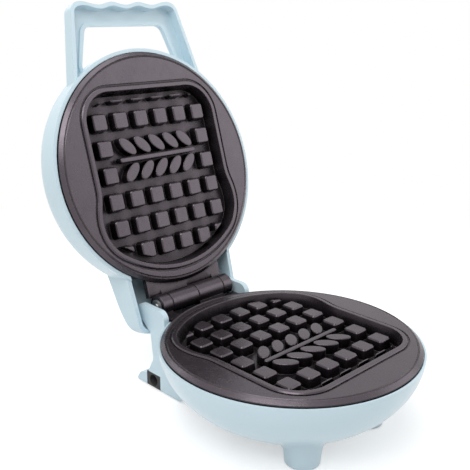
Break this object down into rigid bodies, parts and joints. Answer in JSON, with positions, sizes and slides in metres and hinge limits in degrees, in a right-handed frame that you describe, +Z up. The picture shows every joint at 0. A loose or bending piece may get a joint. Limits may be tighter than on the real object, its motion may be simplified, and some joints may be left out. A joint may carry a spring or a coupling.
{
  "type": "mini waffle maker",
  "caption": "Small round countertop waffle maker, its lid open on a rear hinge: two round ribbed plates in plastic shells, with a looped handle.",
  "frame": {"origin": "on the surface that the maker stands on, at the middle of the box that the open maker fills", "axes": "+Z up, X along the hinge, +Y from the lower plate towards the hinge and the open lid"},
  "size_m": [0.1264, 0.1941, 0.1923],
  "materials": {
    "shell_blue": "smooth moulded pale blue",
    "nonstick_grey": "satin grey non-stick coating on a die casting",
    "black_rubber": "soft matt rubber",
    "heater_steel": "drawn steel tube, heat tinted",
    "zinc_plate": "zinc plated",
    "bright_sheet": "bright rolled sheet",
    "ceramic_white": "unglazed white ceramic",
    "lead_sleeve": "woven glass-fibre sleeve",
    "pin_steel": "ground steel",
    "lens_red": "clear red moulded lens",
    "lamp_glass": "clear lamp glass",
    "holder_plastic": "heat-proof plastic"
  },
  "bodies": {
    "base": {"base_shell": "shell_blue", "front_foot_pads": "black_rubber", "rear_foot_pads": "black_rubber", "cord_gland": "black_rubber", "lower_plate": "nonstick_grey", "lower_heating_element": "heater_steel", "lower_element_clips": "zinc_plate", "lower_clip_screws": "zinc_plate", "lower_reflector": "bright_sheet", "base_screws": "zinc_plate", "thermostat": "ceramic_white", "thermostat_bracket": "zinc_plate", "thermostat_screws": "zinc_plate", "terminal_block": "ceramic_white", "base_leads": "lead_sleeve", "hinge_pin": "pin_steel", "hinge_pin_clips": "pin_steel"},
    "lid": {"lid_shell": "shell_blue", "upper_plate": "nonstick_grey", "upper_heating_element": "heater_steel", "upper_element_clips": "zinc_plate", "upper_clip_screws": "zinc_plate", "upper_reflector": "bright_sheet", "upper_reflector_screws": "zinc_plate", "thermal_fuse": "bright_sheet", "fuse_strap": "zinc_plate", "fuse_screw": "zinc_plate", "indicator_lens": "lens_red", "indicator_lamp": "lamp_glass", "lamp_holder": "holder_plastic", "lid_leads": "lead_sleeve"}
  },
  "joints": [
    {"name": "lid_hinge", "type": "hinge", "parent": "base", "child": "lid", "pos_m": [0, 0.03472, 0.0435], "axis": [1, 0, 0], "range_deg": [0, 107.4]}
  ]
}
